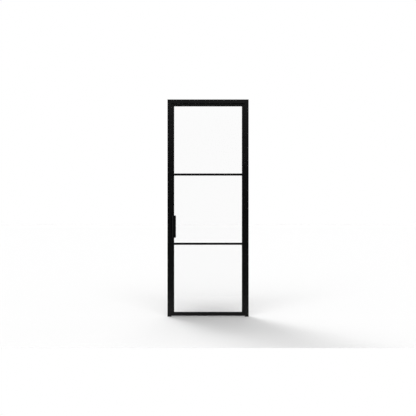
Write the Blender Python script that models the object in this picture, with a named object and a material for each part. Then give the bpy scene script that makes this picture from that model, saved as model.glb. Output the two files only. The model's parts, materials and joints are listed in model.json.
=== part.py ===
"""Steel interior door with three glass panes, hung in its own steel frame.

Door coordinates: X runs from the lock side (-) to the hinge side (+), with 0 on the centreline.
Y runs away from the front, with 0 on the frame's front face. Z runs up from the floor.
The whole set is then moved so that the world origin is under the hinge jamb's foot.
All sizes are in metres.
"""

import math

import bmesh
import bpy
from mathutils import Matrix, Vector

# Sizes of the door set
FRAME_WIDTH = 0.880
FRAME_HEIGHT = 2.355
LEAF_DEPTH = 0.040

# Frame: a wide tube in front is the stop, a narrower one behind it stands beside the leaf
FRAME_FACE = 0.043
FRAME_SIDE = 0.025
STOP_DEPTH = 0.025
FRAME_WALL = 0.002
FOOT_THICKNESS = 0.004

# Leaf profile: a square tube with a lip in front that holds the glass
STILE_TUBE = 0.028
LEAF_WALL = 0.002
LIP_WIDTH = 0.012
LIP_THICKNESS = 0.004

# Glazing bars, T-shaped
PANE_COUNT = 3
BAR_FACE = 0.020
BAR_WEB = 0.004

# Glass, gasket and beads
GLASS_THICKNESS = 0.008
GASKET_FACE = 0.003
GASKET_SETBACK = 0.001
GLASS_EDGE_SPACE = 0.002
BEAD_WALL = 0.0015

# Hinges
HINGE_COUNT = 3
HINGE_END_DISTANCE = 0.230
BARREL_RADIUS = 0.008
PIN_RADIUS = 0.0045
PIN_CHAMFER = 0.001
HINGE_HALF_LENGTH = 0.049
HINGE_CAP = 0.004
WASHER_THICKNESS = 0.002
WASHER_SETBACK = 0.0005
WING_THICKNESS = 0.003
WING_MARGIN = 0.003
WING_CORNER = 0.005
SCREW_INSET = 0.012
SCREW_HOLE_RADIUS = 0.0022
SCREW_HEAD_RADIUS = 0.0042

# Pulls: an angle welded on each face of the lock stile, with its leg on the tube
PULL_LENGTH = 0.240
PULL_CENTRE_HEIGHT = 0.976
PULL_STANDOFF = 0.045
PULL_GRIP = 0.035
PULL_THICKNESS = 0.004
PULL_EDGE_MARGIN = 0.0005

# Seals and magnet catch on the back of the stop
SEAL_WIDTH = 0.008
SEAL_ROUND_SHARE = 0.9
CATCH_WIDTH = 0.010
CATCH_LENGTH = 0.070

# Clearances
CONTACT = 0.0003
LEAF_SIDE_CLEARANCE = 0.005
LEAF_FLOOR_CLEARANCE = 0.006
STOP_CLEARANCE = 0.005
SEAL_CLEARANCE = 0.0005
PIN_CLEARANCE = 0.0003
PIN_END_CLEARANCE = 0.002

# Rounding
PROFILE_RADIUS = 0.0015
BEAD_RADIUS = 0.001
PULL_BEND_RADIUS = 0.0065
EDGE_BREAK = 0.0006
HINGE_EDGE_BREAK = 0.0004
CORNER_STEPS = 3
BARREL_STEPS = 32
SCREW_STEPS = 16
EPSILON = 1e-6

# Places that follow from the sizes
HALF_WIDTH = FRAME_WIDTH / 2
FRAME_DEPTH = STOP_DEPTH + STOP_CLEARANCE + LEAF_DEPTH
LEAF_FRONT = STOP_DEPTH + STOP_CLEARANCE
LEAF_BACK = LEAF_FRONT + LEAF_DEPTH
LEAF_HALF_WIDTH = HALF_WIDTH - FRAME_SIDE - LEAF_SIDE_CLEARANCE
LEAF_BOTTOM = LEAF_FLOOR_CLEARANCE
LEAF_TOP = FRAME_HEIGHT - FRAME_SIDE - LEAF_SIDE_CLEARANCE
LEAF_FACE = STILE_TUBE + LIP_WIDTH
SIGHT_HALF_WIDTH = LEAF_HALF_WIDTH - LEAF_FACE
SIGHT_BOTTOM = LEAF_BOTTOM + LEAF_FACE
SIGHT_TOP = LEAF_TOP - LEAF_FACE
PANE_HEIGHT = (SIGHT_TOP - SIGHT_BOTTOM - (PANE_COUNT - 1) * BAR_FACE) / PANE_COUNT
BAR_OVERHANG = (BAR_FACE - BAR_WEB) / 2
GLASS_FRONT = LEAF_FRONT + LIP_THICKNESS + GASKET_FACE
GLASS_BACK = GLASS_FRONT + GLASS_THICKNESS
BEAD_FRONT = GLASS_BACK + GASKET_FACE
MITRE_SPACE = CONTACT / math.sqrt(2)
AXIS_X = LEAF_HALF_WIDTH + LEAF_SIDE_CLEARANCE / 2
AXIS_Y = LEAF_BACK + CONTACT + BARREL_RADIUS
BORE_RADIUS = PIN_RADIUS + PIN_CLEARANCE
SEAL_LINE = (FRAME_FACE + FRAME_SIDE + LEAF_SIDE_CLEARANCE) / 2
SEAL_BACK = LEAF_FRONT - SEAL_CLEARANCE
FOOT_CENTRE = Vector((HALF_WIDTH - FRAME_SIDE / 2, FRAME_DEPTH / 2, 0.0))

# The four sides of a rectangle, walked clockwise as seen from the front
LOCK_SIDE, TOP_SIDE, HINGE_SIDE, BOTTOM_SIDE = range(4)


def clear_scene():
    for item in list(bpy.data.objects):
        bpy.data.objects.remove(item, do_unlink=True)


def make_material(name, color, roughness, metallic=0.0, alpha=1.0):
    material = bpy.data.materials.new(name)
    material.use_nodes = True
    shader = material.node_tree.nodes["Principled BSDF"]
    shader.inputs["Base Color"].default_value = (*color, 1.0)
    shader.inputs["Roughness"].default_value = roughness
    shader.inputs["Metallic"].default_value = metallic
    shader.inputs["Alpha"].default_value = alpha
    return material


def make_empty(name, place, parent=None):
    """An empty at a place in door coordinates, which carries the pieces that move together."""
    empty = bpy.data.objects.new(name, None)
    bpy.context.collection.objects.link(empty)
    empty["door_place"] = place
    empty.location = place
    if parent:
        empty.parent = parent
        empty.location = Vector(place) - Vector(parent["door_place"])
    return empty


def make_object(name, bm, material, carrier, place=(0, 0, 0), turn=0.0):
    """One piece from a bmesh, turned about Y and put at a place in door coordinates."""
    bmesh.ops.recalc_face_normals(bm, faces=bm.faces)
    mesh = bpy.data.meshes.new(name)
    bm.to_mesh(mesh)
    bm.free()
    mesh.materials.append(material)
    piece = bpy.data.objects.new(name, mesh)
    bpy.context.collection.objects.link(piece)
    piece.parent = carrier
    piece.rotation_euler = (0, turn, 0)
    piece.location = Vector(place) - Vector(carrier["door_place"])
    return piece


def shade_round(piece, angle_deg=30):
    piece.data.shade_smooth()
    piece.data.set_sharp_from_angle(angle=math.radians(angle_deg))


def break_edges(piece, width=EDGE_BREAK, segments=2):
    """A small round on the sharp edges."""
    bevel = piece.modifiers.new("edge_break", "BEVEL")
    bevel.width = width
    bevel.segments = segments
    bevel.limit_method = "ANGLE"
    bevel.angle_limit = math.radians(50)


# Outlines and solids

def rounded_outline(corners, steps=CORNER_STEPS):
    """A closed outline through corners given as (x, y, radius), with an arc at each radius."""
    points = []
    for index, (x, y, radius) in enumerate(corners):
        corner = Vector((x, y))
        if radius <= 0:
            points.append(corner)
            continue
        previous = corners[index - 1]
        following = corners[(index + 1) % len(corners)]
        back = (Vector(previous[:2]) - corner).normalized()
        ahead = (Vector(following[:2]) - corner).normalized()
        half_angle = back.angle(ahead) / 2
        reach = radius / math.tan(half_angle)
        centre = corner + (back + ahead).normalized() * radius / math.sin(half_angle)
        spoke = corner + back * reach - centre
        sweep = -spoke.angle_signed(corner + ahead * reach - centre)
        for step in range(steps + 1):
            points.append(centre + Matrix.Rotation(sweep * step / steps, 2) @ spoke)
    return points


def arc(radius, start_deg, end_deg, steps):
    """Points on a circle about the origin, both ends included."""
    angles = (math.radians(start_deg + (end_deg - start_deg) * i / steps) for i in range(steps + 1))
    return [Vector((radius * math.cos(a), radius * math.sin(a))) for a in angles]


def circle(radius, steps=BARREL_STEPS):
    return arc(radius, 0, 360 - 360 / steps, steps - 1)


def add_loop(bm, points, height_at):
    """A closed loop of vertices, each at the height that height_at gives for its x."""
    verts = [bm.verts.new((p[0], p[1], height_at(p[0]))) for p in points]
    for index, vert in enumerate(verts):
        bm.edges.new((verts[index - 1], vert))
    return verts


def loop_edges(bm, verts):
    return [bm.edges.get((verts[index - 1], vert)) for index, vert in enumerate(verts)]


def join_loops(bm, low, high):
    for index in range(len(low)):
        bm.faces.new((low[index - 1], low[index], high[index], high[index - 1]))


def fill_between(bm, *loops):
    """Faces on the flat area inside the first loop and outside the others."""
    edges = [edge for verts in loops for edge in loop_edges(bm, verts)]
    bmesh.ops.triangle_fill(bm, edges=edges, use_beauty=True, normal=(0, 0, 1))


def prism(outline, length, start=(0.0, 0.0), end=(0.0, 0.0), cavity=None, cavity_start=None):
    """A bar along Z with this outline, open inside where a cavity outline is given.

    start and end are (slope, offset): an end lies offset in from 0 or from length, and slope times
    x further in, so a slope of 1 makes a 45 degree mitre. The cavity runs from end to end, or with
    cavity_start from that distance in, which leaves the start closed.
    """
    bm = bmesh.new()

    def start_height(x):
        return start[1] + start[0] * x

    def end_height(x):
        return length - end[1] - end[0] * x

    low = add_loop(bm, outline, start_height)
    high = add_loop(bm, outline, end_height)
    join_loops(bm, low, high)
    if cavity is None:
        fill_between(bm, low)
        fill_between(bm, high)
        return bm
    inner_high = add_loop(bm, cavity, end_height)
    fill_between(bm, high, inner_high)
    if cavity_start is None:
        inner_low = add_loop(bm, cavity, start_height)
        fill_between(bm, low, inner_low)
    else:
        inner_low = add_loop(bm, cavity, lambda x: cavity_start)
        fill_between(bm, low)
        fill_between(bm, inner_low)
    join_loops(bm, inner_low, inner_high)
    return bm


def mirrored(bm):
    """The same solid seen in a mirror across its local X."""
    bmesh.ops.scale(bm, vec=(-1, 1, 1), verts=bm.verts)
    return bm


def turned(profile, steps=BARREL_STEPS):
    """A solid turned about Z from (radius, height) points; a radius of 0 is a point on the axis."""
    bm = bmesh.new()
    points = [bm.verts.new((radius, 0, height)) for radius, height in profile]
    closed = profile[0][0] > 0
    pairs = list(zip(points, points[1:] + points[:1] if closed else points[1:]))
    edges = [bm.edges.new(pair) for pair in pairs]
    bmesh.ops.spin(
        bm, geom=edges, cent=(0, 0, 0), axis=(0, 0, 1), angle=math.tau, steps=steps,
        use_merge=True, use_duplicate=False,
    )
    bmesh.ops.remove_doubles(bm, verts=bm.verts, dist=EPSILON)
    return bm


def block(low, high):
    """A plain box between two corners."""
    bm = bmesh.new()
    bmesh.ops.create_cube(bm, size=1.0)
    size = Vector(high) - Vector(low)
    centre = (Vector(high) + Vector(low)) / 2
    bmesh.ops.scale(bm, vec=size, verts=bm.verts)
    bmesh.ops.translate(bm, vec=centre, verts=bm.verts)
    return bm


class Rectangle:
    """A rectangle in the plane of the door, and where a bar along each side starts."""

    def __init__(self, half_width, bottom, top):
        self.half_width = half_width
        self.bottom = bottom
        self.top = top

    def start(self, side):
        x = self.half_width if side in (HINGE_SIDE, BOTTOM_SIDE) else -self.half_width
        z = self.top if side in (TOP_SIDE, HINGE_SIDE) else self.bottom
        return (x, 0, z)

    def length(self, side):
        if side in (LOCK_SIDE, HINGE_SIDE):
            return self.top - self.bottom
        return 2 * self.half_width


def side_turn(side):
    """The turn about Y that points a bar's local X inwards from that side."""
    return side * math.pi / 2


# Frame

MITRE = (1.0, MITRE_SPACE)
SQUARE = (0.0, 0.0)


def tube_section(low, high, front, back, wall, radius):
    """Outline and cavity of a rectangular tube between two places across and two depths."""
    outline = rounded_outline([
        (low, front, radius), (high, front, radius), (high, back, radius), (low, back, radius),
    ])
    cavity = rounded_outline([
        (low + wall, front + wall, 0),
        (high - wall, front + wall, 0),
        (high - wall, back - wall, 0),
        (low + wall, back - wall, 0),
    ])
    return outline, cavity


def build_frame(carrier, material):
    """Two tubes welded back to back on each side, mitred at the head and closed at the feet."""
    around = Rectangle(HALF_WIDTH, 0.0, FRAME_HEIGHT)
    height = around.length(LOCK_SIDE)
    width = around.length(TOP_SIDE)
    tubes = {
        "stop": (FRAME_FACE, 0.0, STOP_DEPTH),
        "lining": (FRAME_SIDE, STOP_DEPTH + CONTACT, FRAME_DEPTH),
    }
    for word, (across, front, back) in tubes.items():
        outline, cavity = tube_section(0.0, across, front, back, FRAME_WALL, PROFILE_RADIUS)
        lock = prism(outline, height, SQUARE, MITRE, cavity, cavity_start=FOOT_THICKNESS)
        make_object(f"jamb_lock_{word}", lock, material, carrier, around.start(LOCK_SIDE))
        hinge = mirrored(prism(outline, height, SQUARE, MITRE, cavity, cavity_start=FOOT_THICKNESS))
        make_object(f"jamb_hinge_{word}", hinge, material, carrier, around.start(BOTTOM_SIDE))
        head = prism(outline, width, MITRE, MITRE, cavity)
        turn = side_turn(TOP_SIDE)
        make_object(f"head_{word}", head, material, carrier, around.start(TOP_SIDE), turn)


def seal_outline():
    """A strip with a half-round back, which stands on the stop and faces the leaf."""
    left = SEAL_LINE - SEAL_WIDTH / 2
    right = SEAL_LINE + SEAL_WIDTH / 2
    front = STOP_DEPTH + CONTACT
    radius = min(SEAL_BACK - front, SEAL_WIDTH / 2) * SEAL_ROUND_SHARE
    corners = [(left, front, 0), (right, front, 0), (right, SEAL_BACK, radius), (left, SEAL_BACK, radius)]
    return rounded_outline(corners)


def build_seals(carrier, rubber, catch_material):
    opening = Rectangle(HALF_WIDTH, LEAF_BOTTOM, FRAME_HEIGHT)
    height = opening.length(LOCK_SIDE)
    beside_head = SEAL_LINE + SEAL_WIDTH / 2 + CONTACT
    head_end = (0.0, SEAL_LINE - SEAL_WIDTH / 2)
    catch_top = FRAME_HEIGHT - beside_head
    catch_bottom = catch_top - CATCH_LENGTH
    outline = seal_outline()

    head = prism(outline, opening.length(TOP_SIDE), head_end, head_end)
    make_object("seal_head", head, rubber, carrier, opening.start(TOP_SIDE), side_turn(TOP_SIDE))

    hinge = prism(outline, height, (0.0, beside_head), SQUARE)
    make_object("seal_hinge", hinge, rubber, carrier, opening.start(HINGE_SIDE), side_turn(HINGE_SIDE))

    below_catch = (0.0, FRAME_HEIGHT - catch_bottom + CONTACT)
    lock = prism(outline, height, SQUARE, below_catch)
    make_object("seal_lock", lock, rubber, carrier, opening.start(LOCK_SIDE))

    centre = -HALF_WIDTH + SEAL_LINE
    catch = block(
        (centre - CATCH_WIDTH / 2, STOP_DEPTH + CONTACT, catch_bottom),
        (centre + CATCH_WIDTH / 2, SEAL_BACK, catch_top),
    )
    break_edges(make_object("magnet_catch", catch, catch_material, carrier))


# Leaf

def build_leaf_frame(carrier, material):
    outline = rounded_outline([
        (0, LEAF_FRONT, PROFILE_RADIUS),
        (LEAF_FACE, LEAF_FRONT, PROFILE_RADIUS),
        (LEAF_FACE, LEAF_FRONT + LIP_THICKNESS, PROFILE_RADIUS / 2),
        (STILE_TUBE, LEAF_FRONT + LIP_THICKNESS, 0),
        (STILE_TUBE, LEAF_BACK, PROFILE_RADIUS / 2),
        (0, LEAF_BACK, PROFILE_RADIUS),
    ])
    cavity = rounded_outline([
        (LEAF_WALL, LEAF_FRONT + LEAF_WALL, 0),
        (STILE_TUBE - LEAF_WALL, LEAF_FRONT + LEAF_WALL, 0),
        (STILE_TUBE - LEAF_WALL, LEAF_BACK - LEAF_WALL, 0),
        (LEAF_WALL, LEAF_BACK - LEAF_WALL, 0),
    ])
    leaf = Rectangle(LEAF_HALF_WIDTH, LEAF_BOTTOM, LEAF_TOP)
    names = {
        LOCK_SIDE: "stile_lock",
        TOP_SIDE: "rail_top",
        HINGE_SIDE: "stile_hinge",
        BOTTOM_SIDE: "rail_bottom",
    }
    for side, name in names.items():
        bar = prism(outline, leaf.length(side), MITRE, MITRE, cavity)
        make_object(name, bar, material, carrier, leaf.start(side), side_turn(side))


def bar_bottom(index):
    """The lower edge of the glazing bar above pane index, counted from the bottom."""
    return SIGHT_BOTTOM + (index + 1) * PANE_HEIGHT + index * BAR_FACE


def build_bars(carrier, material):
    """T-shaped bars: the flange runs between the lips, the web between the tubes behind them."""
    radius = PROFILE_RADIUS / 2
    lip_back = LEAF_FRONT + LIP_THICKNESS
    web_low = BAR_OVERHANG
    web_high = BAR_OVERHANG + BAR_WEB
    outline = rounded_outline([
        (0, LEAF_FRONT, PROFILE_RADIUS),
        (BAR_FACE, LEAF_FRONT, PROFILE_RADIUS),
        (BAR_FACE, lip_back, radius),
        (web_high, lip_back, 0),
        (web_high, LEAF_BACK, radius),
        (web_low, LEAF_BACK, radius),
        (web_low, lip_back, 0),
        (0, lip_back, radius),
    ])
    flange_end = SIGHT_HALF_WIDTH - CONTACT
    for index in range(PANE_COUNT - 1):
        bar = prism(outline, 2 * flange_end)
        lengthen_web(bar, 2 * flange_end, lip_back + CONTACT)
        place = (flange_end, 0, bar_bottom(index))
        make_object(f"bar_{index + 1}", bar, material, carrier, place, side_turn(BOTTOM_SIDE))


def lengthen_web(bar, flange_length, from_depth):
    """Carry both ends of the web, from this depth back, past the lips to the tubes."""
    everything = bar.verts[:] + bar.edges[:] + bar.faces[:]
    bmesh.ops.bisect_plane(bar, geom=everything, plane_co=(0, from_depth, 0), plane_no=(0, 1, 0))
    for end, reach in ((0.0, -LIP_WIDTH), (flange_length, LIP_WIDTH)):
        web_end = [
            face for face in bar.faces
            if all(abs(vert.co.z - end) < EPSILON for vert in face.verts)
            and all(vert.co.y > from_depth - EPSILON for vert in face.verts)
        ]
        web_edges = list({edge for face in web_end for edge in face.edges})
        grown = bmesh.ops.extrude_face_region(bar, geom=web_end + web_edges)["geom"]
        moved = [item for item in grown if isinstance(item, bmesh.types.BMVert)]
        bmesh.ops.translate(bar, vec=(0, 0, reach), verts=moved)


class Pane:
    """One pane: its sight edges, and how deep the rebate behind each edge is."""

    def __init__(self, index):
        self.index = index
        self.bottom = SIGHT_BOTTOM + index * (PANE_HEIGHT + BAR_FACE)
        self.top = self.bottom + PANE_HEIGHT
        self.rebate_bottom = LIP_WIDTH if index == 0 else BAR_OVERHANG
        self.rebate_top = LIP_WIDTH if index == PANE_COUNT - 1 else BAR_OVERHANG
        self.name = str(index + 1)


def build_glass(carrier, pane, material):
    half_width = SIGHT_HALF_WIDTH + LIP_WIDTH - GLASS_EDGE_SPACE
    glass = block(
        (-half_width, GLASS_FRONT, pane.bottom - pane.rebate_bottom + GLASS_EDGE_SPACE),
        (half_width, GLASS_BACK, pane.top + pane.rebate_top - GLASS_EDGE_SPACE),
    )
    make_object("glass_" + pane.name, glass, material, carrier)


def gasket_profile(rebate):
    """U-shaped strip round the glass edge, as (distance out from the sight edge, depth)."""
    outer = rebate - CONTACT
    groove = rebate - GLASS_EDGE_SPACE + CONTACT
    front = LEAF_FRONT + LIP_THICKNESS + CONTACT
    back = BEAD_FRONT - CONTACT
    return [
        (GASKET_SETBACK, front),
        (outer, front),
        (outer, back),
        (GASKET_SETBACK, back),
        (GASKET_SETBACK, GLASS_BACK + CONTACT),
        (groove, GLASS_BACK + CONTACT),
        (groove, GLASS_FRONT - CONTACT),
        (GASKET_SETBACK, GLASS_FRONT - CONTACT),
    ]


def build_gasket(carrier, pane, material):
    """A mitred ring of the strip round one pane."""
    bm = bmesh.new()
    low = (pane.bottom, -1, gasket_profile(pane.rebate_bottom))
    high = (pane.top, 1, gasket_profile(pane.rebate_top))
    upright = gasket_profile(LIP_WIDTH)
    loops = []
    for across, (edge, up, level) in ((-1, low), (-1, high), (1, high), (1, low)):
        loops.append([
            bm.verts.new((across * (SIGHT_HALF_WIDTH + out), depth, edge + up * rise))
            for (out, depth), (rise, _) in zip(upright, level)
        ])
    for index, loop in enumerate(loops):
        join_loops(bm, loops[index - 1], loop)
    make_object("gasket_" + pane.name, bm, material, carrier)


def bead(rebate, length, start, end):
    outline, cavity = tube_section(CONTACT, rebate, BEAD_FRONT, LEAF_BACK, BEAD_WALL, BEAD_RADIUS)
    return prism(outline, length, (0.0, start), (0.0, end), cavity)


def build_beads(carrier, pane, material):
    """Square tubes that hold the glass from behind: the level ones run through."""
    rebate = Rectangle(
        SIGHT_HALF_WIDTH + LIP_WIDTH, pane.bottom - pane.rebate_bottom, pane.top + pane.rebate_top
    )
    above_bottom = pane.rebate_bottom + CONTACT
    below_top = pane.rebate_top + CONTACT
    cuts = {
        BOTTOM_SIDE: ("bottom", pane.rebate_bottom, CONTACT, CONTACT),
        TOP_SIDE: ("top", pane.rebate_top, CONTACT, CONTACT),
        LOCK_SIDE: ("lock", LIP_WIDTH, above_bottom, below_top),
        HINGE_SIDE: ("hinge", LIP_WIDTH, below_top, above_bottom),
    }
    for side, (word, depth, start, end) in cuts.items():
        bar = bead(depth, rebate.length(side), start, end)
        name = f"bead_{pane.name}_{word}"
        make_object(name, bar, material, carrier, rebate.start(side), side_turn(side))


# Pulls

def build_pull(name, carrier, material, face, outwards):
    """An angle on one face of the leaf: leg on the tube, grip parallel to the glass.

    outwards is -1 in front and 1 behind.
    """
    t = PULL_THICKNESS
    out = PULL_STANDOFF
    outline = rounded_outline([
        (0, CONTACT, 0),
        (t, CONTACT, 0),
        (t, out - t, PULL_BEND_RADIUS - t),
        (PULL_GRIP, out - t, 0),
        (PULL_GRIP, out, 0),
        (0, out, PULL_BEND_RADIUS),
    ])
    pull = prism([Vector((p.x, face + outwards * p.y)) for p in outline], PULL_LENGTH)
    leg_edge = SIGHT_HALF_WIDTH + LIP_WIDTH + PULL_EDGE_MARGIN + t
    place = (-leg_edge, 0, PULL_CENTRE_HEIGHT - PULL_LENGTH / 2)
    piece = make_object(name, pull, material, carrier, place)
    break_edges(piece)
    shade_round(piece)


# Hinges

def knuckle_outline(reach):
    """A barrel with a flat wing at its foot: the wing runs along +X and lies on the back face."""
    wing_back = WING_THICKNESS - BARREL_RADIUS
    meets = math.degrees(math.asin(wing_back / BARREL_RADIUS))
    around = arc(BARREL_RADIUS, meets, 270, BARREL_STEPS)
    wing = [Vector((reach, -BARREL_RADIUS)), Vector((reach, wing_back))]
    return around + wing


def round_wing_corners(bm, reach):
    corners = [
        edge for edge in bm.edges
        if all(vert.co.x > reach - EPSILON for vert in edge.verts)
        and abs(edge.verts[0].co.y - edge.verts[1].co.y) > EPSILON
        and abs(edge.verts[0].co.z - edge.verts[1].co.z) < EPSILON
    ]
    bmesh.ops.bevel(
        bm, geom=corners, offset=WING_CORNER, offset_type="OFFSET", segments=4, profile=0.5,
        affect="EDGES",
    )


def frame_hinge_half(reach, pin_length):
    """The lower half: its top is at z = 0, and the pin stands on it."""
    bm = bmesh.new()
    outline = knuckle_outline(reach)
    low = add_loop(bm, outline, lambda x: -HINGE_HALF_LENGTH)
    high = add_loop(bm, outline, lambda x: 0.0)
    pin_foot = add_loop(bm, circle(PIN_RADIUS), lambda x: 0.0)
    pin_neck = add_loop(bm, circle(PIN_RADIUS), lambda x: pin_length - PIN_CHAMFER)
    pin_top = add_loop(bm, circle(PIN_RADIUS - PIN_CHAMFER), lambda x: pin_length)
    join_loops(bm, low, high)
    join_loops(bm, pin_foot, pin_neck)
    join_loops(bm, pin_neck, pin_top)
    fill_between(bm, low)
    fill_between(bm, high, pin_foot)
    fill_between(bm, pin_top)
    round_wing_corners(bm, reach)
    return bm


def leaf_hinge_half(reach):
    """The upper half: its underside is at z = 0, with a blind bore for the pin."""
    bm = bmesh.new()
    outline = knuckle_outline(reach)
    low = add_loop(bm, outline, lambda x: 0.0)
    high = add_loop(bm, outline, lambda x: HINGE_HALF_LENGTH)
    bore_mouth = add_loop(bm, circle(BORE_RADIUS), lambda x: 0.0)
    bore_end = add_loop(bm, circle(BORE_RADIUS), lambda x: HINGE_HALF_LENGTH - HINGE_CAP)
    join_loops(bm, low, high)
    join_loops(bm, bore_mouth, bore_end)
    fill_between(bm, low, bore_mouth)
    fill_between(bm, high)
    fill_between(bm, bore_end)
    round_wing_corners(bm, reach)
    return bm


def screw_cutter():
    """A countersunk hole through a wing, with its axis along Y and the wing's foot at y = 0."""
    cone = SCREW_HEAD_RADIUS - SCREW_HOLE_RADIUS
    beyond = CONTACT
    cutter = turned([
        (0, -beyond),
        (SCREW_HOLE_RADIUS, -beyond),
        (SCREW_HOLE_RADIUS, WING_THICKNESS - cone),
        (SCREW_HEAD_RADIUS + beyond, WING_THICKNESS + beyond),
        (0, WING_THICKNESS + beyond),
    ], SCREW_STEPS)
    bmesh.ops.rotate(cutter, matrix=Matrix.Rotation(-math.pi / 2, 3, "X"), verts=cutter.verts)
    return cutter


def drill_wing(piece, carrier, side, reach, low, high):
    """Two screw holes through a wing; side is 1 on the frame and -1 on the leaf."""
    across = side * (BARREL_RADIUS + reach) / 2
    for number, height in enumerate((low + SCREW_INSET, high - SCREW_INSET), start=1):
        place = (AXIS_X + across, AXIS_Y - BARREL_RADIUS, height)
        name = f"{piece.name}_hole_{number}"
        cutter = make_object(name, screw_cutter(), piece.data.materials[0], carrier, place)
        cutter.hide_render = True
        cutter.display_type = "WIRE"
        cut = piece.modifiers.new(f"screw_hole_{number}", "BOOLEAN")
        cut.object = cutter
        cut.operation = "DIFFERENCE"
        cut.solver = "EXACT"


def build_hinge(number, height, frame_carrier, leaf_carrier, hinge_steel, brass):
    """One lift-off hinge: the leaf's half turns on the pin that stands on the frame's half."""
    half_space = WASHER_THICKNESS / 2 + CONTACT
    frame_reach = HALF_WIDTH - WING_MARGIN - AXIS_X
    leaf_reach = AXIS_X - (LEAF_HALF_WIDTH - STILE_TUBE) - WING_MARGIN
    lower_top = height - half_space
    upper_bottom = height + half_space
    bore_end = HINGE_HALF_LENGTH - HINGE_CAP
    pin_length = 2 * half_space + bore_end - PIN_END_CLEARANCE

    lower = make_object(
        f"hinge_frame_half_{number}", frame_hinge_half(frame_reach, pin_length), hinge_steel,
        frame_carrier, (AXIS_X, AXIS_Y, lower_top),
    )
    upper = make_object(
        f"hinge_leaf_half_{number}", mirrored(leaf_hinge_half(leaf_reach)), hinge_steel,
        leaf_carrier, (AXIS_X, AXIS_Y, upper_bottom),
    )
    for piece in (lower, upper):
        break_edges(piece, HINGE_EDGE_BREAK, segments=1)
        shade_round(piece)
    lower_bottom = lower_top - HINGE_HALF_LENGTH
    drill_wing(lower, frame_carrier, 1, frame_reach, lower_bottom, lower_top)
    upper_top = upper_bottom + HINGE_HALF_LENGTH
    drill_wing(upper, leaf_carrier, -1, leaf_reach, upper_bottom, upper_top)

    washer_radius = BARREL_RADIUS - WASHER_SETBACK
    washer = turned([
        (BORE_RADIUS, -WASHER_THICKNESS / 2),
        (washer_radius, -WASHER_THICKNESS / 2),
        (washer_radius, WASHER_THICKNESS / 2),
        (BORE_RADIUS, WASHER_THICKNESS / 2),
    ])
    place = (AXIS_X, AXIS_Y, height)
    shade_round(make_object(f"hinge_washer_{number}", washer, brass, frame_carrier, place))


def hinge_heights():
    low = LEAF_BOTTOM + HINGE_END_DISTANCE
    high = LEAF_TOP - HINGE_END_DISTANCE
    return [low + (high - low) * i / (HINGE_COUNT - 1) for i in range(HINGE_COUNT)]


def build():
    clear_scene()
    powder_coat = (0.0033, 0.0033, 0.0035)
    frame_steel = make_material("frame_steel", powder_coat, 0.45)
    leaf_steel = make_material("leaf_steel", powder_coat, 0.42)
    bead_steel = make_material("bead_steel", powder_coat, 0.42)
    pull_steel = make_material("pull_steel", powder_coat, 0.38)
    hinge_steel = make_material("hinge_steel", powder_coat, 0.36)
    glass = make_material("glass", (0.93, 0.97, 0.95), 0.02, alpha=0.2)
    rubber = make_material("rubber", (0.015, 0.015, 0.015), 0.75)
    brass = make_material("brass", (0.62, 0.46, 0.20), 0.30, metallic=1.0)
    catch_plastic = make_material("catch_plastic", (0.03, 0.03, 0.03), 0.55)

    origin = make_empty("door_set", (0, 0, 0))
    origin.location = -FOOT_CENTRE
    frame = make_empty("frame", (0, 0, 0), origin)
    leaf = make_empty("leaf", (AXIS_X, AXIS_Y, 0), origin)

    build_frame(frame, frame_steel)
    build_seals(frame, rubber, catch_plastic)
    build_leaf_frame(leaf, leaf_steel)
    build_bars(leaf, leaf_steel)
    for index in range(PANE_COUNT):
        pane = Pane(index)
        build_glass(leaf, pane, glass)
        build_gasket(leaf, pane, rubber)
        build_beads(leaf, pane, bead_steel)
    build_pull("pull_front", leaf, pull_steel, LEAF_FRONT, -1)
    build_pull("pull_back", leaf, pull_steel, LEAF_BACK, 1)
    for index, height in enumerate(hinge_heights()):
        build_hinge(index + 1, height, frame, leaf, hinge_steel, brass)


build()
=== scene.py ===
"""The steel interior door, dressed: finishes, small fasteners, welds, studio and camera.

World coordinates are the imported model's: metres, +Z up, +Y away from the front, +X from the lock
side to the hinge side, with the origin under the hinge jamb's foot.
"""

import json
import math

import bmesh
import bpy
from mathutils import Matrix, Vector


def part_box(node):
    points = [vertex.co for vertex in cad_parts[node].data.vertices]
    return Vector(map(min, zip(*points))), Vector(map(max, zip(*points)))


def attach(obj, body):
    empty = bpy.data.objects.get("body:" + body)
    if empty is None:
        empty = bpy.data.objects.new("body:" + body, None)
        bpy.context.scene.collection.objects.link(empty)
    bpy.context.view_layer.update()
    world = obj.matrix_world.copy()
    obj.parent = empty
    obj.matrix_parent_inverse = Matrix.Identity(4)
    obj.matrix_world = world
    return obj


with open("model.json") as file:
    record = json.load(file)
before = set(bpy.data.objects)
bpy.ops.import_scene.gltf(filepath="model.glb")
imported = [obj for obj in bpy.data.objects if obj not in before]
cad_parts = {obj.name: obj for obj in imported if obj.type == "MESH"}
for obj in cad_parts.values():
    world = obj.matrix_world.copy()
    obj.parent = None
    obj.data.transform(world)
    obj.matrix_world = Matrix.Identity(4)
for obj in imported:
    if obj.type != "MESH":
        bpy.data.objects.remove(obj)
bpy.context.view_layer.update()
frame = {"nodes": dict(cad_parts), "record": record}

# Camera, as the photo was taken: level, straight in front
CAMERA_PLACE = (-0.4280, -10.681, 1.178)
CAMERA_LENS = 85.0
CAMERA_SENSOR = 36.0
CAMERA_REACH = 200.0

# Shading: edges stay sharp above this many degrees, and corners closer than this distance are one
SHARP_ANGLE = 35
MERGE_DISTANCE = 0.00001

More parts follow.
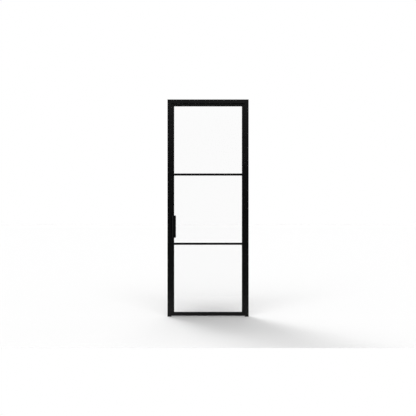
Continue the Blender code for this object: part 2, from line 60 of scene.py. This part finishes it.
# Turned pieces, each a list of rings: a ring's shape, its radius and its height along the axis
BACKWARDS = (0, 1, 0)
ROUND_STEPS = 24
COUNTERSUNK_SCREW = [
    ("round", 0.0020, -0.0029),
    ("round", 0.0020, -0.0021),
    ("round", 0.0037, -0.0005),
    ("round", 0.0037, -0.0004),
    ("round", 0.0035, -0.0003),
    ("hexagon", 0.0015, -0.0003),
    ("hexagon", 0.0014, -0.0016),
]
PAN_SCREW = [
    ("round", 0.0027, -0.0001),
    ("round", 0.0027, 0.0004),
    ("round", 0.0024, 0.0009),
    ("round", 0.0018, 0.0012),
    ("hexagon", 0.0012, 0.0012),
    ("hexagon", 0.0011, 0.0003),
]
FIXING_CAP = [
    ("round", 0.0060, -0.0001),
    ("round", 0.0060, 0.0002),
    ("round", 0.0057, 0.0004),
    ("round", 0.0045, 0.0006),
    ("round", 0.0015, 0.0006),
]
CATCH_SCREW = [
    ("round", 0.0021, -0.0001),
    ("round", 0.0021, 0.0001),
    ("round", 0.0019, 0.0002),
    ("hexagon", 0.0010, 0.0002),
    ("hexagon", 0.0010, 0.0001),
]

# Countersunk screws in the hinges' wings
HINGE_COUNT = 3
HINGE_HALF_LENGTH = 0.049
HINGE_AXIS_X = -0.015
BARREL_RADIUS = 0.008
WING_BACK = 0.0383
HINGE_SCREW_INSET = 0.012

# Pan-head screws through the glazing beads
PANE_COUNT = 3
BEAD_SCREW_END = 0.060
BEAD_SCREW_COUNT = 4

# Lips of the gaskets, on both faces of each pane
LIP_REACH = 0.0020
LIP_ROUND = 0.0014
LIP_TUCK = 0.0008
LIP_HEIGHT = 0.0025
LIP_SPACE = 0.0001
LIP_STEPS = 5

# Caps over the fixings in the frame's rebate
CAP_END = 0.150
CAP_COUNT = 4

# Poles and screws in the face of the magnet catch
CATCH_SCREW_INSET = 0.006
POLE_HALF_LENGTH = 0.0215
POLE_HALF_WIDTH = 0.0008
POLE_SPACING = 0.0042
POLE_PROUD = 0.0002
POLE_CHAMFER = 0.0001

# Welds beside the pulls' legs. The section is in shares of the weld's size: how far away from the
# pull, and how far out from the leaf.
WELD_SIZE = 0.0024
WELD_SECTION = ((-0.0001, -0.0001), (-0.0001, 1.0), (0.45, 0.8), (0.8, 0.45), (1.0, -0.0001))
WELD_RIPPLE = 0.10
WELD_PITCH = 0.0016
WELD_STEPS_A_RIPPLE = 4
WELD_END = 0.002

# Noise: where most of its values lie, and how strong its finer layers are
NOISE_LOW = 0.3
NOISE_HIGH = 0.7
NOISE_ROUGHNESS = 0.55

# Powder coat
BLACK = (0.0015, 0.0015, 0.0016)
COAT_SPECULAR = 0.2
COAT_TONE_CHANGE = 0.1
COAT_ROUGHNESS = 0.20
FITTING_COAT_ROUGHNESS = 0.19
COAT_ROUGHNESS_CHANGE = 0.015

# Glass, rubber, brass and plastic
GLASS_TINT = (0.996, 0.996, 0.996, 1.0)
GLASS_INDEX = 1.45
RUBBER_DARK = (0.010, 0.010, 0.010)
RUBBER_LIGHT = (0.018, 0.018, 0.018)
BRASS_DARK = (0.50, 0.35, 0.13)
BRASS_LIGHT = (0.68, 0.50, 0.22)
BRASS_GRAIN = (40.0, 40.0, 6000.0)
PLASTIC_DARK = (0.0255, 0.0255, 0.0255)
PLASTIC_LIGHT = (0.03, 0.03, 0.03)

# Floor; it ends in front where the photo's floor does
FLOOR_TONE = 0.83
FLOOR_WIDTH = 60.0
FLOOR_FRONT = -2.416
FLOOR_BACK = 60.0

# How strongly the world lights the door and the floor
WORLD_STRENGTH = 0.42

# A ray that has met nothing matt yet counts fewer diffuse bounces than this
FIRST_BOUNCE = 0.5

# The room that gloss shows: dark straight in front, and lit behind, above, below and at the sides.
# Each begins to show where the ray's direction that way has the first value, shows in full at the
# second, and has the third as its brightness.
ROOM_BEHIND = (0.1, 0.6, 1.0)
ROOM_ABOVE = (0.075, 0.175, 1.5)
ROOM_BELOW = (-0.06, -0.16, 0.7)
ROOM_SIDES = (0.5, 0.9, 2.0)

# Round soft lamps: where each stands (degrees round from behind towards the lock side, and up),
# how many degrees wide it looks from the door, and how strong it is
LAMP_DISTANCE = 10.0
LAMPS = {
    "key_from_behind_high": (12.5, 40.5, 46.0, 1.24),
    "key_from_behind_low": (18.8, 30.5, 18.0, 1.26),
    "fill_from_front": (176.5, 30.5, 51.0, 1.99),
}


def add_object(name, data):
    """An object of some data, in the scene."""
    thing = bpy.data.objects.new(name, data)
    bpy.context.scene.collection.objects.link(thing)
    return thing


# Smoothing

def smoothing_group(name, angle_deg):
    """A node group that welds a mesh's split corners and rounds its shading below an angle."""
    group = bpy.data.node_groups.new(name, "GeometryNodeTree")
    group.interface.new_socket("Geometry", in_out="INPUT", socket_type="NodeSocketGeometry")
    group.interface.new_socket("Geometry", in_out="OUTPUT", socket_type="NodeSocketGeometry")
    nodes = group.nodes
    links = group.links
    start = nodes.new("NodeGroupInput")
    end = nodes.new("NodeGroupOutput")
    clear = nodes.new("GeometryNodeRemoveAttribute")
    clear.inputs["Name"].default_value = "custom_normal"
    weld = nodes.new("GeometryNodeMergeByDistance")
    weld.inputs["Distance"].default_value = MERGE_DISTANCE
    faces = nodes.new("GeometryNodeSetShadeSmooth")
    edges = nodes.new("GeometryNodeSetShadeSmooth")
    edges.domain = "EDGE"
    angle = nodes.new("GeometryNodeInputMeshEdgeAngle")
    test = nodes.new("FunctionNodeCompare")
    test.data_type = "FLOAT"
    test.operation = "LESS_THAN"
    test.inputs["B"].default_value = math.radians(angle_deg)
    links.new(start.outputs[0], clear.inputs["Geometry"])
    links.new(clear.outputs["Geometry"], weld.inputs["Geometry"])
    links.new(weld.outputs["Geometry"], faces.inputs["Geometry"])
    links.new(faces.outputs["Geometry"], edges.inputs["Geometry"])
    links.new(angle.outputs["Unsigned Angle"], test.inputs["A"])
    links.new(test.outputs["Result"], edges.inputs["Shade Smooth"])
    links.new(edges.outputs["Geometry"], end.inputs[0])
    return group


def smooth(node, group):
    """Rounds the shading of a node's small rounds, while its flat faces stay flat."""
    smoothing = node.modifiers.new("smoothing", "NODES")
    smoothing.node_group = group
    flat_faces = node.modifiers.new("flat_faces", "WEIGHTED_NORMAL")
    flat_faces.mode = "FACE_AREA"
    flat_faces.keep_sharp = True


# Finishes

class Finish:
    """A procedural material in the making: its node tree, its shader and its coordinates."""

    def __init__(self, name):
        self.material = bpy.data.materials.new(name)
        self.material.use_nodes = True
        self.nodes = self.material.node_tree.nodes
        self.links = self.material.node_tree.links
        self.shader = self.nodes["Principled BSDF"]
        self.place = self.nodes.new("ShaderNodeTexCoord").outputs["Object"]

    def set(self, **values):
        """Constant values on the shader's own sockets."""
        for word, value in values.items():
            self.shader.inputs[word.replace("_", " ")].default_value = value

    def noise(self, scale, detail=3.0, place=None):
        """A noise value; the scale is in its cells a metre."""
        node = self.nodes.new("ShaderNodeTexNoise")
        node.inputs["Scale"].default_value = scale
        node.inputs["Detail"].default_value = detail
        node.inputs["Roughness"].default_value = NOISE_ROUGHNESS
        self.links.new(place or self.place, node.inputs["Vector"])
        return node.outputs["Fac"]

    def stretched(self, scale):
        """The coordinates scaled by three factors, for grain that runs one way."""
        node = self.nodes.new("ShaderNodeMapping")
        node.inputs["Scale"].default_value = scale
        self.links.new(self.place, node.inputs["Vector"])
        return node.outputs["Vector"]

    def color_between(self, value, low, high):
        """The base colour goes from low to high with a noise value."""
        node = self.nodes.new("ShaderNodeValToRGB")
        node.color_ramp.elements[0].position = NOISE_LOW
        node.color_ramp.elements[0].color = (*low, 1.0)
        node.color_ramp.elements[1].position = NOISE_HIGH
        node.color_ramp.elements[1].color = (*high, 1.0)
        self.links.new(value, node.inputs["Fac"])
        self.links.new(node.outputs["Color"], self.shader.inputs["Base Color"])

    def roughness_between(self, value, low, high):
        """The roughness goes from low to high with a noise value."""
        node = self.nodes.new("ShaderNodeMapRange")
        node.inputs["From Min"].default_value = NOISE_LOW
        node.inputs["From Max"].default_value = NOISE_HIGH
        node.inputs["To Min"].default_value = low
        node.inputs["To Max"].default_value = high
        self.links.new(value, node.inputs["Value"])
        self.links.new(node.outputs["Result"], self.shader.inputs["Roughness"])

    def bump(self, height, strength, distance):
        """Small unevenness from a noise value; the distance is in metres."""
        node = self.nodes.new("ShaderNodeBump")
        node.inputs["Strength"].default_value = strength
        node.inputs["Distance"].default_value = distance
        self.links.new(height, node.inputs["Height"])
        self.links.new(node.outputs["Normal"], self.shader.inputs["Normal"])


def powder_coat(name, roughness):
    """Satin black powder coat on steel: fine orange peel, with slow changes of gloss and tone."""
    finish = Finish(name)
    finish.set(Specular_IOR_Level=COAT_SPECULAR)
    darker = tuple((1 - COAT_TONE_CHANGE) * c for c in BLACK)
    lighter = tuple((1 + COAT_TONE_CHANGE) * c for c in BLACK)
    finish.color_between(finish.noise(scale=14.0), darker, lighter)
    smoother = roughness - COAT_ROUGHNESS_CHANGE
    rougher = roughness + COAT_ROUGHNESS_CHANGE
    finish.roughness_between(finish.noise(scale=9.0, detail=2.0), low=smoother, high=rougher)
    finish.bump(finish.noise(scale=700.0, detail=2.0), strength=0.4, distance=0.00006)
    return finish.material


def clear_glass():
    """Float glass."""
    finish = Finish("clear_glass")
    finish.set(Base_Color=GLASS_TINT, Transmission_Weight=1.0, IOR=GLASS_INDEX)
    finish.roughness_between(finish.noise(scale=6.0), low=0.0, high=0.004)
    return finish.material


def black_rubber():
    """Matt rubber of the gaskets, their lips and the seals."""
    finish = Finish("black_rubber")
    finish.color_between(finish.noise(scale=60.0), RUBBER_DARK, RUBBER_LIGHT)
    finish.roughness_between(finish.noise(scale=120.0), low=0.68, high=0.82)
    finish.bump(finish.noise(scale=2500.0, detail=2.0), strength=0.2, distance=0.00004)
    return finish.material


def turned_brass():
    """Brass of the hinges' washers, with fine lines round their axis."""
    finish = Finish("turned_brass")
    lines = finish.noise(scale=1.0, detail=4.0, place=finish.stretched(BRASS_GRAIN))
    finish.set(Metallic=1.0)
    finish.color_between(lines, BRASS_DARK, BRASS_LIGHT)
    finish.roughness_between(lines, low=0.24, high=0.38)
    finish.bump(lines, strength=0.15, distance=0.00002)
    return finish.material


def black_plastic():
    """Moulded plastic of the magnet catch and the fixing caps."""
    finish = Finish("catch_plastic_black")
    finish.color_between(finish.noise(scale=90.0), PLASTIC_DARK, PLASTIC_LIGHT)
    finish.roughness_between(finish.noise(scale=300.0), low=0.45, high=0.55)
    finish.bump(finish.noise(scale=1800.0, detail=2.0), strength=0.2, distance=0.00003)
    return finish.material


FINISHES = {
    "frame_steel": powder_coat("frame_powder_coat", COAT_ROUGHNESS),
    "leaf_steel": powder_coat("leaf_powder_coat", COAT_ROUGHNESS),
    "bead_steel": powder_coat("bead_powder_coat", COAT_ROUGHNESS),
    "pull_steel": powder_coat("pull_powder_coat", FITTING_COAT_ROUGHNESS),
    "hinge_steel": powder_coat("hinge_powder_coat", FITTING_COAT_ROUGHNESS),
    "glass": clear_glass(),
    "rubber": black_rubber(),
    "brass": turned_brass(),
    "catch_plastic": black_plastic(),
}


def dress_nodes():
    """Gives every node of the model its slot's finish, and all but the panes rounded shading."""
    slots = {subpart["node"]: subpart["material_slot"] for subpart in frame["record"]["subparts"]}
    rounded = smoothing_group("round_below_sharp_angle", SHARP_ANGLE)
    for name, node in frame["nodes"].items():
        node.data.materials.clear()
        node.data.materials.append(FINISHES[slots[name]])
        if slots[name] != "glass":
            smooth(node, rounded)


# Mesh helpers

def make_piece(name, bm, slot, body):
    """One piece from a bmesh, with the finish of a slot, which rides on a body of the model."""
    bmesh.ops.recalc_face_normals(bm, faces=bm.faces)
    mesh = bpy.data.meshes.new(name)
    bm.to_mesh(mesh)
    bm.free()
    mesh.materials.append(FINISHES[slot])
    mesh.shade_smooth()
    mesh.set_sharp_from_angle(angle=math.radians(SHARP_ANGLE))
    piece = add_object(name, mesh)
    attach(piece, body)


def join_two(bm, low, high):
    """Side faces between two closed rings of vertices."""
    for step in range(len(low)):
        bm.faces.new((low[step - 1], low[step], high[step], high[step - 1]))


def join_rings(bm, rings):
    """Side faces from ring to ring, and a face over each end."""
    for low, high in zip(rings, rings[1:]):
        join_two(bm, low, high)
    bm.faces.new(rings[0])
    bm.faces.new(rings[-1])


def ring_radius(shape, radius, angle):
    """A ring's reach in one direction; a hexagon's radius is measured to its corners."""
    if shape == "round":
        return radius
    from_flat = angle % (math.pi / 3) - math.pi / 6
    return radius * math.cos(math.pi / 6) / math.cos(from_flat)


def add_turned(bm, place, axis, profile):
    """A closed solid about an axis, from a list of rings."""
    turn = Vector((0, 0, 1)).rotation_difference(Vector(axis)).to_matrix()
    rings = []
    for shape, radius, height in profile:
        ring = []
        for step in range(ROUND_STEPS):
            angle = math.tau * step / ROUND_STEPS
            reach = ring_radius(shape, radius, angle)
            point = Vector((reach * math.cos(angle), reach * math.sin(angle), height))
            ring.append(bm.verts.new(Vector(place) + turn @ point))
        rings.append(ring)
    join_rings(bm, rings)


def evenly(low, high, end, count):
    """Evenly spaced places between low and high, the outermost an end's length in from them."""
    first = low + end
    step = (high - low - 2 * end) / (count - 1)
    return [first + i * step for i in range(count)]


# Small pieces

def build_hinge_screws():
    """Two countersunk screws in each half of each hinge."""
    for number in range(1, HINGE_COUNT + 1):
        for word, side in (("frame", 1), ("leaf", -1)):
            low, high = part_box(f"hinge_{word}_half_{number}")
            wing_end = high[0] if side > 0 else low[0]
            across = (HINGE_AXIS_X + side * BARREL_RADIUS + wing_end) / 2
            lower = low[2] + HINGE_SCREW_INSET
            upper = low[2] + HINGE_HALF_LENGTH - HINGE_SCREW_INSET
            bm = bmesh.new()
            for height in (lower, upper):
                add_turned(bm, (across, WING_BACK, height), BACKWARDS, COUNTERSUNK_SCREW)
            make_piece(f"hinge_{word}_screws_{number}", bm, "hinge_steel", word)


def build_bead_screws():
    """Screws along the middle of each glazing bead, on the side that faces the glass opening."""
    facing = {"bottom": (0, 0, 1), "top": (0, 0, -1), "lock": (1, 0, 0), "hinge": (-1, 0, 0)}
    for pane in range(1, PANE_COUNT + 1):
        for word, axis in facing.items():
            low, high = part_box(f"bead_{pane}_{word}")
            place = [(a + b) / 2 for a, b in zip(low, high)]
            across = 2 if axis[2] else 0
            along = 0 if axis[2] else 2
            place[across] = high[across] if sum(axis) > 0 else low[across]
            bm = bmesh.new()
            for distance in evenly(low[along], high[along], BEAD_SCREW_END, BEAD_SCREW_COUNT):
                place[along] = distance
                add_turned(bm, place, axis, PAN_SCREW)
            make_piece(f"bead_{pane}_{word}_screws", bm, "bead_steel", "leaf")


def lip_section():
    """The lip's outline: how far past the steel's edge, and how far from the glass."""
    section = [(-LIP_TUCK, LIP_SPACE)]
    section.append((-LIP_TUCK, LIP_SPACE + LIP_HEIGHT))
    for step in range(LIP_STEPS + 1):
        angle = math.pi / 2 * (1 - step / LIP_STEPS)
        past_edge = LIP_REACH - LIP_ROUND * (1 - math.cos(angle))
        section.append((past_edge, LIP_SPACE + LIP_HEIGHT * math.sin(angle)))
    return section


def pane_opening(pane):
    """The opening between a pane's four beads: its left, right, bottom and top."""
    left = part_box(f"bead_{pane}_lock")[1][0]
    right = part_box(f"bead_{pane}_hinge")[0][0]
    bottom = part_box(f"bead_{pane}_bottom")[1][2]
    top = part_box(f"bead_{pane}_top")[0][2]
    return left, right, bottom, top


def lip_ring(bm, corner, face, outwards):
    """The lip's outline at one corner of the opening: its place, and its way inwards and up."""
    x, z, inwards, up = corner
    return [
        bm.verts.new((x + inwards * past_edge, face + outwards * out, z + up * past_edge))
        for past_edge, out in lip_section()
    ]


def build_gasket_lips():
    """Rounded rubber lips that run round each pane between the steel and the glass, mitred."""
    for pane in range(1, PANE_COUNT + 1):
        glass_low, glass_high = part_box(f"glass_{pane}")
        left, right, bottom, top = pane_opening(pane)
        corners = (
            (left, bottom, 1, 1),
            (left, top, 1, -1),
            (right, top, -1, -1),
            (right, bottom, -1, 1),
        )
        for word, face, outwards in (("front", glass_low[1], -1), ("back", glass_high[1], 1)):
            bm = bmesh.new()
            rings = [lip_ring(bm, corner, face, outwards) for corner in corners]
            for index, ring in enumerate(rings):
                join_two(bm, rings[index - 1], ring)
            make_piece(f"gasket_{pane}_lip_{word}", bm, "rubber", "leaf")


def build_fixing_caps():
    """Caps along the rebate face of both jambs, over the screws that hold the frame."""
    for word, side in (("lock", 1), ("hinge", -1)):
        low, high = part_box(f"jamb_{word}_lining")
        face = high[0] if side > 0 else low[0]
        middle = (low[1] + high[1]) / 2
        bm = bmesh.new()
        for height in evenly(low[2], high[2], CAP_END, CAP_COUNT):
            add_turned(bm, (face, middle, height), (side, 0, 0), FIXING_CAP)
        make_piece(f"jamb_{word}_fixing_caps", bm, "catch_plastic", "frame")


def add_pole(bm, x, face, centre):
    """One pole strip, chamfered round its face."""
    rings = []
    for proud, inset in ((-POLE_PROUD, 0.0), (POLE_PROUD / 2, 0.0), (POLE_PROUD, POLE_CHAMFER)):
        half_width = POLE_HALF_WIDTH - inset
        half_length = POLE_HALF_LENGTH - inset
        rings.append([
            bm.verts.new((x + across * half_width, face + proud, centre + up * half_length))
            for across, up in ((-1, -1), (1, -1), (1, 1), (-1, 1))
        ])
    join_rings(bm, rings)


def build_catch_face():
    """Two pole strips, and a screw at each end, in the face of the magnet catch."""
    low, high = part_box("magnet_catch")
    middle = (low[0] + high[0]) / 2
    face = high[1]
    centre = (low[2] + high[2]) / 2
    bm = bmesh.new()
    for side in (-1, 1):
        add_pole(bm, middle + side * POLE_SPACING / 2, face, centre)
    for height in (low[2] + CATCH_SCREW_INSET, high[2] - CATCH_SCREW_INSET):
        add_turned(bm, (middle, face, height), BACKWARDS, CATCH_SCREW)
    make_piece("magnet_catch_poles", bm, "hinge_steel", "frame")


def build_pull_weld(word, outwards):
    """A rippled fillet weld down the outer side of a pull's leg; outwards is -1 in front, 1 behind."""
    low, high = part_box(f"pull_{word}")
    leaf_low, leaf_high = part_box("stile_lock")
    face = leaf_low[1] if outwards < 0 else leaf_high[1]
    bottom = low[2] + WELD_END
    length = high[2] - low[2] - 2 * WELD_END
    steps = round(length / WELD_PITCH) * WELD_STEPS_A_RIPPLE
    bm = bmesh.new()
    rings = []
    for step in range(steps + 1):
        wave = abs(math.sin(math.pi * step / WELD_STEPS_A_RIPPLE))
        size = WELD_SIZE * (1 - WELD_RIPPLE * wave)
        height = bottom + length * step / steps
        rings.append([
            bm.verts.new((low[0] - away * size, face + outwards * out * size, height))
            for away, out in WELD_SECTION
        ])
    join_rings(bm, rings)
    make_piece(f"pull_{word}_weld", bm, "pull_steel", "leaf")


# Studio

def build_lamp(name, around_deg, up_deg, wide_deg, strength):
    """A round soft lamp that lights the object and the floor and doesn't show in gloss or glass."""
    lamp = bpy.data.lights.new(name, "SUN")
    lamp.energy = strength
    lamp.angle = math.radians(wide_deg)
    around = math.radians(around_deg)
    up = math.radians(up_deg)
    towards = Vector((-math.sin(around) * math.cos(up), math.cos(around) * math.cos(up), math.sin(up)))
    holder = add_object(name, lamp)
    holder.visible_transmission = False
    holder.visible_glossy = False
    holder.location = towards * LAMP_DISTANCE
    holder.rotation_mode = "QUATERNION"
    holder.rotation_quaternion = (-towards).to_track_quat("-Z", "Y")


def floor_paint():
    """Plain pale matt paint."""
    material = bpy.data.materials.new("studio_floor")
    material.use_nodes = True
    shader = material.node_tree.nodes["Principled BSDF"]
    shader.inputs["Base Color"].default_value = (FLOOR_TONE, FLOOR_TONE, FLOOR_TONE, 1.0)
    shader.inputs["Roughness"].default_value = 1.0
    shader.inputs["Specular IOR Level"].default_value = 0.0
    return material


def build_floor():
    """One flat sheet under the object, as wide to either side of the camera."""
    bm = bmesh.new()
    left = CAMERA_PLACE[0] - FLOOR_WIDTH / 2
    right = CAMERA_PLACE[0] + FLOOR_WIDTH / 2
    corners = [(left, FLOOR_FRONT), (right, FLOOR_FRONT), (right, FLOOR_BACK), (left, FLOOR_BACK)]
    bm.faces.new([bm.verts.new((x, y, 0.0)) for x, y in corners])
    mesh = bpy.data.meshes.new("floor")
    bm.to_mesh(mesh)
    bm.free()
    mesh.materials.append(floor_paint())
    floor = add_object("floor", mesh)


class WorldRays:
    """What kind of ray meets the world and where it goes, as numbers in the world's node tree."""

    def __init__(self, nodes, links):
        self.nodes = nodes
        self.links = links
        self.path = nodes.new("ShaderNodeLightPath")
        self.direction = nodes.new("ShaderNodeSeparateXYZ")
        links.new(nodes.new("ShaderNodeTexCoord").outputs["Generated"], self.direction.inputs[0])

    def worked_out(self, operation, first, second):
        """The result of an operation on two values, each a number or a node's output."""
        node = self.nodes.new("ShaderNodeMath")
        node.operation = operation
        for socket, value in zip(node.inputs, (first, second)):
            if isinstance(value, float):
                socket.default_value = value
            else:
                self.links.new(value, socket)
        return node.outputs[0]

    def ramp(self, value, low, high, brightness):
        """Goes smoothly from dark to a brightness as the value goes from low to high."""
        node = self.nodes.new("ShaderNodeMapRange")
        node.interpolation_type = "SMOOTHSTEP"
        node.inputs["From Min"].default_value = low
        node.inputs["From Max"].default_value = high
        node.inputs["To Max"].default_value = brightness
        self.links.new(value, node.inputs["Value"])
        return node.outputs["Result"]

    def room(self):
        """How bright the room is where a ray of gloss goes."""
        across = self.worked_out("ABSOLUTE", self.direction.outputs["X"], 0.0)
        level = self.ramp(self.direction.outputs["Y"], *ROOM_BEHIND)
        above = self.ramp(self.direction.outputs["Z"], *ROOM_ABOVE)
        below = self.ramp(self.direction.outputs["Z"], *ROOM_BELOW)
        sides = self.ramp(across, *ROOM_SIDES)
        for part in (above, below, sides):
            level = self.worked_out("MAXIMUM", level, part)
        return level


def build_world():
    """White where the background shows, the room where gloss shows it, and even light."""
    world = bpy.data.worlds.new("studio")
    bpy.context.scene.world = world
    world.use_nodes = True
    nodes = world.node_tree.nodes
    links = world.node_tree.links
    nodes.clear()
    rays = WorldRays(nodes, links)
    camera = rays.path.outputs["Is Camera Ray"]
    through = rays.path.outputs["Is Transmission Ray"]
    gloss_or_glass = rays.path.outputs["Is Glossy Ray"]
    bounces = rays.path.outputs["Diffuse Depth"]
    glossy = rays.worked_out("SUBTRACT", gloss_or_glass, through)
    before_diffuse = rays.worked_out("LESS_THAN", bounces, FIRST_BOUNCE)
    mirrored = rays.worked_out("MULTIPLY", glossy, rays.room())
    seen = rays.worked_out("MAXIMUM", through, mirrored)
    shown = rays.worked_out("MAXIMUM", camera, rays.worked_out("MULTIPLY", seen, before_diffuse))
    looking = rays.worked_out("MAXIMUM", gloss_or_glass, camera)
    lighting = rays.worked_out("SUBTRACT", 1.0, looking)
    strength = rays.worked_out("ADD", shown, rays.worked_out("MULTIPLY", lighting, WORLD_STRENGTH))
    background = nodes.new("ShaderNodeBackground")
    background.inputs["Color"].default_value = (1.0, 1.0, 1.0, 1.0)
    links.new(strength, background.inputs["Strength"])
    out = nodes.new("ShaderNodeOutputWorld")
    links.new(background.outputs[0], out.inputs["Surface"])


def build_camera():
    """The photo's view."""
    data = bpy.data.cameras.new("photo_view")
    data.lens = CAMERA_LENS
    data.sensor_width = CAMERA_SENSOR
    data.clip_end = CAMERA_REACH
    camera = add_object("photo_view", data)
    camera.location = CAMERA_PLACE
    camera.rotation_euler = (math.pi / 2, 0.0, 0.0)
    bpy.context.scene.camera = camera


dress_nodes()
build_hinge_screws()
build_bead_screws()
build_gasket_lips()
build_fixing_caps()
build_catch_face()
build_pull_weld("front", -1)
build_pull_weld("back", 1)
build_floor()
build_world()
for name, facts in LAMPS.items():
    build_lamp(name, *facts)
build_camera()
bpy.context.scene.view_settings.view_transform = "Standard"
